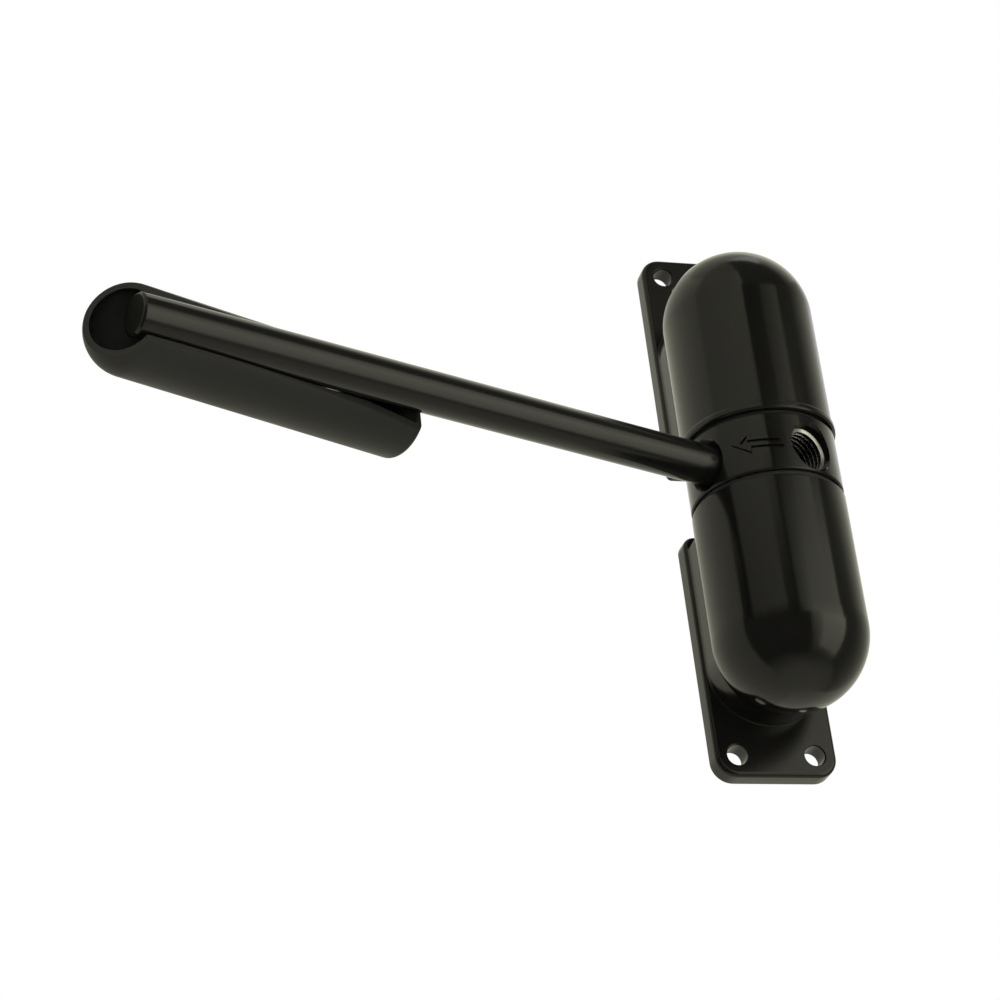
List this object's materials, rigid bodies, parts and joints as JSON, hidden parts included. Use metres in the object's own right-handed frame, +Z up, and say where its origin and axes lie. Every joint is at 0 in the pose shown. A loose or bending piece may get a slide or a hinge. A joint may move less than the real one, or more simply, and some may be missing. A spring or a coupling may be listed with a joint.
{
  "type": "spring door closer",
  "caption": "Surface spring door closer: a notched back plate carries a domed barrel with a turning hub, whose screwed-in arm runs in a round trough on the door.",
  "frame": {"origin": "middle of the back plate's back face, where it meets the wall or frame", "axes": "+Z up along the barrel's axis, +Y out of the plate's back face towards what it is screwed to, +X along the plate's width away from the arm"},
  "size_m": [0.1915, 0.0869, 0.147],
  "materials": {
    "enamel_plate": "gloss",
    "enamel_barrel": "gloss",
    "enamel_arm": "gloss",
    "enamel_trough": "satin",
    "steel_shaft": "satin",
    "steel_spring": "satin",
    "steel_screw": "satin",
    "iron_anchor": "matte",
    "bronze": "satin",
    "nylon": "matte",
    "rubber": "matte"
  },
  "bodies": {
    "base": {"base_plate": "enamel_plate", "upper_shell": "enamel_barrel", "lower_shell": "enamel_barrel", "upper_bush": "bronze", "lower_bush": "bronze", "upper_anchor": "iron_anchor", "lower_anchor": "iron_anchor", "upper_spring": "steel_spring", "lower_spring": "steel_spring", "upper_thrust_ring": "nylon", "lower_thrust_ring": "nylon", "upper_grease_seal": "rubber", "lower_grease_seal": "rubber", "upper_shell_screws": "steel_screw", "lower_shell_screws": "steel_screw"},
    "hub": {"hub": "enamel_barrel", "arm": "enamel_arm", "spindle": "steel_shaft", "cross_pin": "steel_shaft", "upper_clip": "steel_screw", "lower_clip": "steel_screw"},
    "trough": {"trough": "enamel_trough"}
  },
  "joints": [
    {"name": "hub_turn", "type": "hinge", "parent": "base", "child": "hub", "pos_m": [0, -0.024, -0.0035], "axis": [0, 0, 1], "range_deg": [-30, 160], "stiffness_Nm_per_rad": 1.5, "deforming": ["upper_spring", "lower_spring"]},
    {"name": "trough_slide", "type": "slide", "parent": "hub", "child": "trough", "axis": [-0.9409, -0.3387, 0], "range_m": [0, 0.03]}
  ]
}
